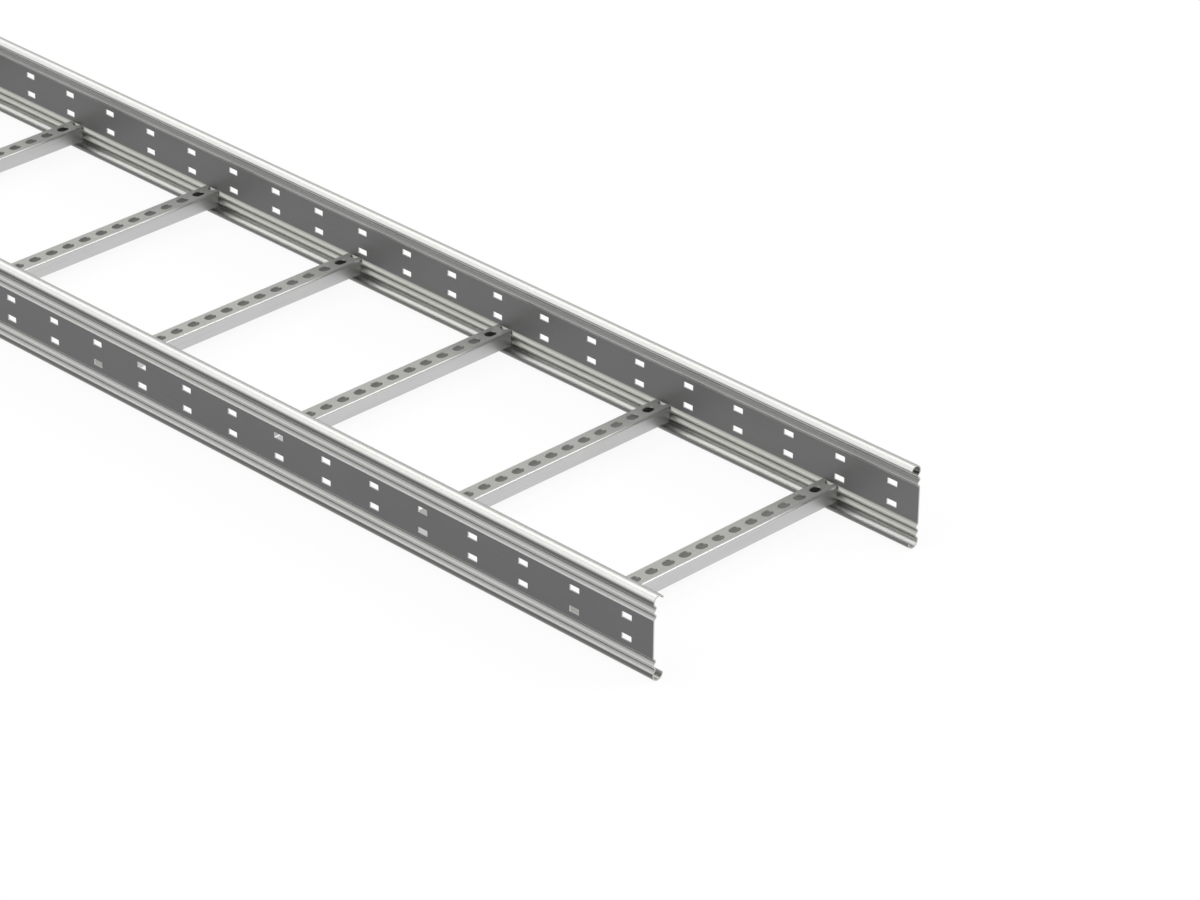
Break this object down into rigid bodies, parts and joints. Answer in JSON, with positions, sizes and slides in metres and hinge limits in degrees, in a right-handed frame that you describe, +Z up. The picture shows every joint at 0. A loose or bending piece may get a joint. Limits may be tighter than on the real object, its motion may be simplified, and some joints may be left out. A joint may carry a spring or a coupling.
{
  "type": "cable ladder section",
  "caption": "Straight cable ladder section with roll-formed side rails, slotted webs and perforated channel rungs between them.",
  "frame": {"origin": "on the ground, in the middle of the ladder's length and width", "axes": "+X along the ladder, +Y across it towards the right rail, +Z up, with the rungs near the bottom"},
  "size_m": [3, 0.4, 0.1],
  "materials": {
    "rail_steel": "satin galvanised sheet",
    "rung_steel": "satin galvanised sheet"
  },
  "bodies": {
    "root": {"side_rail_left": "rail_steel", "side_rail_right": "rail_steel", "rung_01": "rung_steel", "rung_02": "rung_steel", "rung_03": "rung_steel", "rung_04": "rung_steel", "rung_05": "rung_steel", "rung_06": "rung_steel", "rung_07": "rung_steel", "rung_08": "rung_steel", "rung_09": "rung_steel", "rung_10": "rung_steel", "rung_11": "rung_steel", "rung_12": "rung_steel"}
  },
  "joints": []
}
